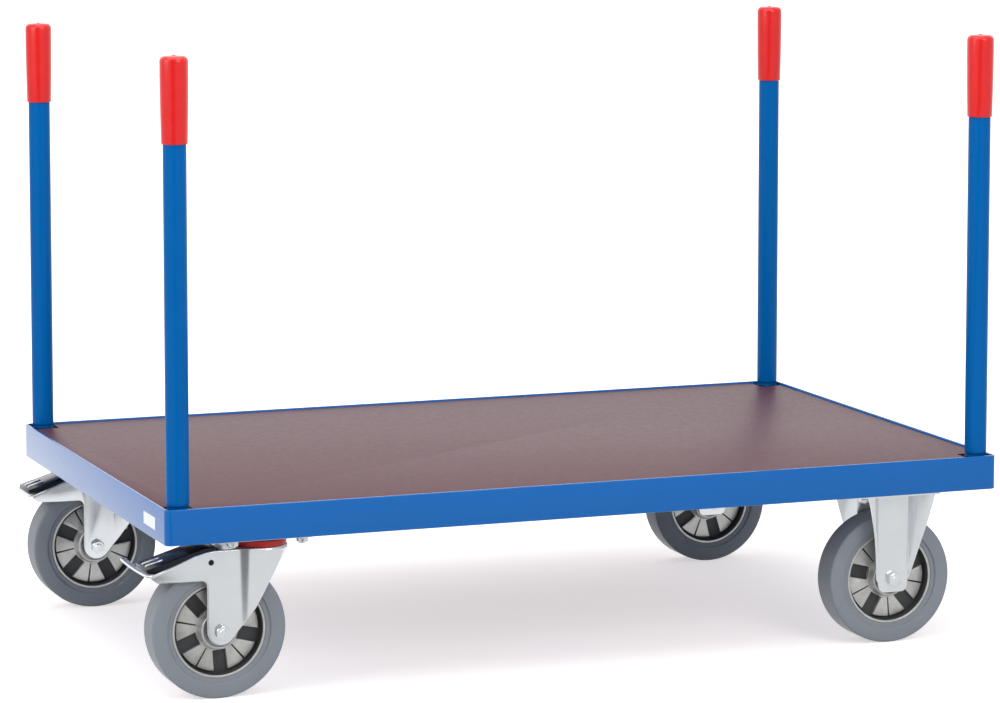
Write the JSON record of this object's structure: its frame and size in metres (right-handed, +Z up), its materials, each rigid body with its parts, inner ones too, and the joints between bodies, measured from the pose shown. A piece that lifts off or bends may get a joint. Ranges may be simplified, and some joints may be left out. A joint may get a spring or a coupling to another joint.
{
  "type": "stake cart",
  "caption": "Flat-bed stake cart: blue steel frame, board deck, red-gripped lift-out corner stakes, braked swivel castors at one end and fixed castors at the other.",
  "frame": {"origin": "bottom centre of the bounding box, on the floor", "axes": "+X along the platform from the swivel castors to the fixed castors, +Y across it to the far side of the pictured view, +Z up"},
  "size_m": [1.347, 0.847, 0.933],
  "materials": {
    "blue_paint": "satin powder coat, saturated mid blue",
    "deck_film": "dark red-brown phenolic film over plywood, fine mesh, semi-gloss",
    "red_vinyl": "gloss dipped vinyl",
    "zinc_plate": "bright zinc-plated pressed steel",
    "chrome_plate": "bright plated pressed steel",
    "bearing_steel": "ground steel",
    "cast_aluminium": "die-cast, as cast",
    "tyre_rubber": "non-marking blue-grey elastic rubber, satin",
    "red_seal": "moulded red sealing ring"
  },
  "bodies": {
    "frame": {"rail_front": "blue_paint", "rail_rear": "blue_paint", "rail_left": "blue_paint", "rail_right": "blue_paint", "castor_beam_left": "blue_paint", "castor_beam_right": "blue_paint", "deck_bearer": "blue_paint", "deck_board": "deck_film", "stake_socket_front_left": "blue_paint", "stake_socket_front_right": "blue_paint", "stake_socket_rear_left": "blue_paint", "stake_socket_rear_right": "blue_paint", "swivel_plate_front_left": "zinc_plate", "kingpin_front_left": "zinc_plate", "bracket_front_right": "zinc_plate", "axle_bolt_front_right": "zinc_plate", "axle_nut_front_right": "zinc_plate", "swivel_plate_rear_left": "zinc_plate", "kingpin_rear_left": "zinc_plate", "bracket_rear_right": "zinc_plate", "axle_bolt_rear_right": "zinc_plate", "axle_nut_rear_right": "zinc_plate"},
    "stake_front_left": {"stake_tube_front_left": "blue_paint", "stake_grip_front_left": "red_vinyl"},
    "stake_front_right": {"stake_tube_front_right": "blue_paint", "stake_grip_front_right": "red_vinyl"},
    "stake_rear_left": {"stake_tube_rear_left": "blue_paint", "stake_grip_rear_left": "red_vinyl"},
    "stake_rear_right": {"stake_tube_rear_right": "blue_paint", "stake_grip_rear_right": "red_vinyl"},
    "wheel_front_left": {"tyre_front_left": "tyre_rubber", "hub_front_left": "cast_aluminium", "bearing_near_front_left": "bearing_steel", "bearing_far_front_left": "bearing_steel"},
    "swivel_front_left": {"fork_front_left": "zinc_plate", "ball_race_front_left": "bearing_steel", "seal_ring_front_left": "red_seal", "axle_bolt_front_left": "zinc_plate", "axle_nut_front_left": "zinc_plate"},
    "brake_front_left": {"brake_lever_front_left": "chrome_plate", "brake_shoe_front_left": "bearing_steel"},
    "wheel_front_right": {"tyre_front_right": "tyre_rubber", "hub_front_right": "cast_aluminium", "bearing_near_front_right": "bearing_steel", "bearing_far_front_right": "bearing_steel"},
    "wheel_rear_left": {"tyre_rear_left": "tyre_rubber", "hub_rear_left": "cast_aluminium", "bearing_near_rear_left": "bearing_steel", "bearing_far_rear_left": "bearing_steel"},
    "swivel_rear_left": {"fork_rear_left": "zinc_plate", "ball_race_rear_left": "bearing_steel", "seal_ring_rear_left": "red_seal", "axle_bolt_rear_left": "zinc_plate", "axle_nut_rear_left": "zinc_plate"},
    "brake_rear_left": {"brake_lever_rear_left": "chrome_plate", "brake_shoe_rear_left": "bearing_steel"},
    "wheel_rear_right": {"tyre_rear_right": "tyre_rubber", "hub_rear_right": "cast_aluminium", "bearing_near_rear_right": "bearing_steel", "bearing_far_rear_right": "bearing_steel"}
  },
  "joints": [
    {"name": "stake_lift_front_left", "type": "slide", "parent": "frame", "child": "stake_front_left", "axis": [0, 0, 1], "range_m": [0, 0.05]},
    {"name": "stake_lift_front_right", "type": "slide", "parent": "frame", "child": "stake_front_right", "axis": [0, 0, 1], "range_m": [0, 0.05]},
    {"name": "stake_lift_rear_left", "type": "slide", "parent": "frame", "child": "stake_rear_left", "axis": [0, 0, 1], "range_m": [0, 0.05]},
    {"name": "stake_lift_rear_right", "type": "slide", "parent": "frame", "child": "stake_rear_right", "axis": [0, 0, 1], "range_m": [0, 0.05]},
    {"name": "castor_swivel_front_left", "type": "hinge", "parent": "frame", "child": "swivel_front_left", "pos_m": [-0.4875, -0.3565, 0.223], "axis": [0, 0, 1], "continuous": true},
    {"name": "wheel_spin_front_left", "type": "hinge", "parent": "swivel_front_left", "child": "wheel_front_left", "pos_m": [-0.5555, -0.3565, 0.1], "axis": [0, 1, 0], "continuous": true},
    {"name": "brake_pedal_front_left", "type": "hinge", "parent": "swivel_front_left", "child": "brake_front_left", "pos_m": [-0.5705, -0.3565, 0.202], "axis": [0, -1, 0], "range_deg": [0, 7.5]},
    {"name": "wheel_spin_front_right", "type": "hinge", "parent": "frame", "child": "wheel_front_right", "pos_m": [0.5145, -0.3565, 0.1], "axis": [0, 1, 0], "continuous": true},
    {"name": "castor_swivel_rear_left", "type": "hinge", "parent": "frame", "child": "swivel_rear_left", "pos_m": [-0.4875, 0.3295, 0.223], "axis": [0, 0, 1], "continuous": true},
    {"name": "wheel_spin_rear_left", "type": "hinge", "parent": "swivel_rear_left", "child": "wheel_rear_left", "pos_m": [-0.5555, 0.3295, 0.1], "axis": [0, 1, 0], "continuous": true},
    {"name": "brake_pedal_rear_left", "type": "hinge", "parent": "swivel_rear_left", "child": "brake_rear_left", "pos_m": [-0.5705, 0.3295, 0.202], "axis": [0, -1, 0], "range_deg": [0, 7.5]},
    {"name": "wheel_spin_rear_right", "type": "hinge", "parent": "frame", "child": "wheel_rear_right", "pos_m": [0.5145, 0.3295, 0.1], "axis": [0, 1, 0], "continuous": true}
  ]
}
